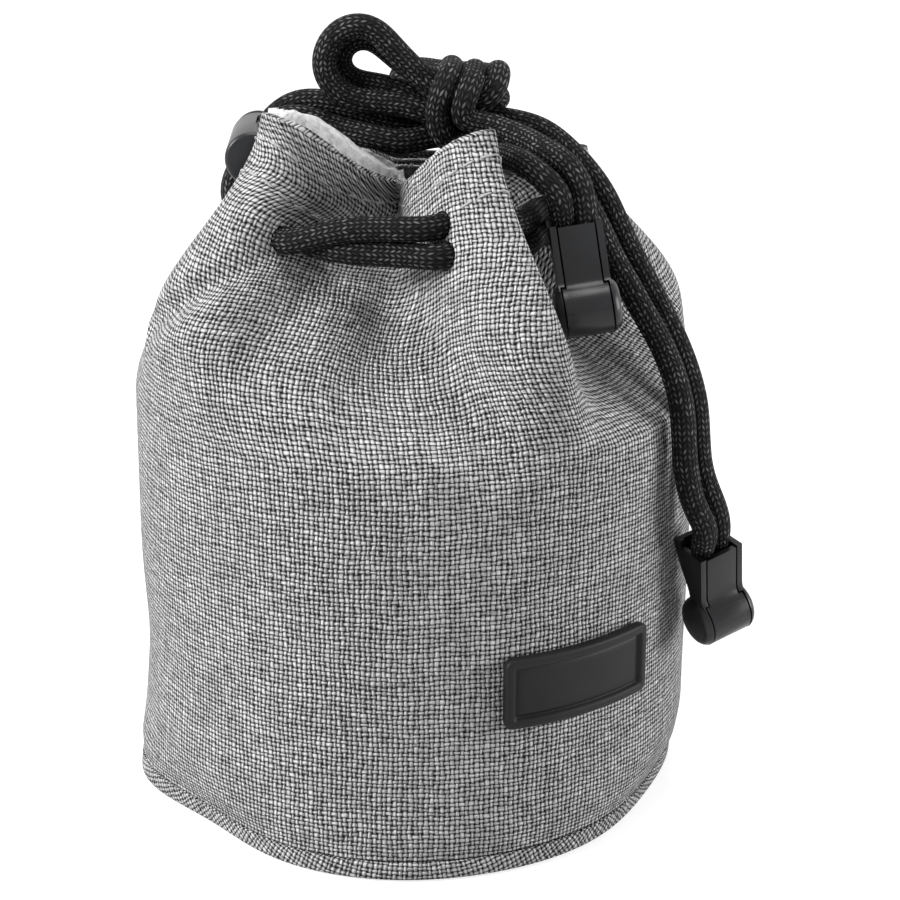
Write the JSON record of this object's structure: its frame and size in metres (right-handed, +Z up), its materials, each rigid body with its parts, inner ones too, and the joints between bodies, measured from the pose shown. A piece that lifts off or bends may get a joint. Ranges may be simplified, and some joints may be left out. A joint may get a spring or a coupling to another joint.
{
  "type": "lens pouch",
  "caption": "Padded round drawstring pouch for a camera lens, drawn shut, its cords tied over the mouth and ended in hinged cord clips.",
  "frame": {"origin": "middle of the base's underside, where the pouch stands", "axes": "+Z up along the pouch's axis, -Y to the front, where the patch and the cord window are, +X to the right seen from the front"},
  "size_m": [0.1132, 0.102, 0.1412],
  "materials": {
    "cloth": "coarse plain weave in grey melange yarn, matt",
    "plush": "short white plush",
    "foam": "soft foam sheet, not seen",
    "board": "stiff board, not seen",
    "patch": "moulded soft rubber, matt, bare",
    "cord": "round braided cord with a slight sheen",
    "clip": "moulded plastic, satin",
    "spring": "drawn spring wire"
  },
  "bodies": {
    "pouch": {"outer_wall": "cloth", "outer_base": "cloth", "lining_wall": "plush", "lining_base": "plush", "wall_padding": "foam", "base_board": "board", "label_patch": "patch", "neck_cord_left": "cord", "neck_cord_back": "cord", "lead_left_back": "cord", "lead_left_front": "cord", "lead_back_inner": "cord", "lead_back_outer": "cord", "bow_loop_outer": "cord", "bow_loop_inner": "cord", "tail_short_left": "cord", "tail_short_right": "cord", "tail_long_left": "cord", "tail_long_right": "cord", "cord_knot": "cord", "clip_front_body": "clip", "clip_front_cord_ends": "cord", "clip_side_body": "clip", "clip_side_cord_ends": "cord", "lock_left_barrel": "clip", "lock_left_spring": "spring", "lock_back_barrel": "clip", "lock_back_spring": "spring"},
    "front_lid": {"clip_front_lid": "clip"},
    "side_lid": {"clip_side_lid": "clip"},
    "left_button": {"lock_left_plunger": "clip"},
    "back_button": {"lock_back_plunger": "clip"}
  },
  "joints": [
    {"name": "clip_front_lid_hinge", "type": "hinge", "parent": "pouch", "child": "front_lid", "pos_m": [0.03012, -0.029, 0.0937], "axis": [0.9877, 0.0457, 0.1496], "range_deg": [0, 100]},
    {"name": "clip_side_lid_hinge", "type": "hinge", "parent": "pouch", "child": "side_lid", "pos_m": [0.05606, -0.02089, 0.03411], "axis": [0.8554, 0.4689, 0.2202], "range_deg": [0, 100]},
    {"name": "lock_left_button_slide", "type": "slide", "parent": "pouch", "child": "left_button", "axis": [0, -1, 0], "range_m": [0, 0.002], "stiffness_N_per_m": 800, "springref_m": -0.002, "deforming": ["lock_left_spring"]},
    {"name": "lock_back_button_slide", "type": "slide", "parent": "pouch", "child": "back_button", "axis": [0, -1, 0], "range_m": [0, 0.002], "stiffness_N_per_m": 800, "springref_m": -0.002, "deforming": ["lock_back_spring"]}
  ]
}
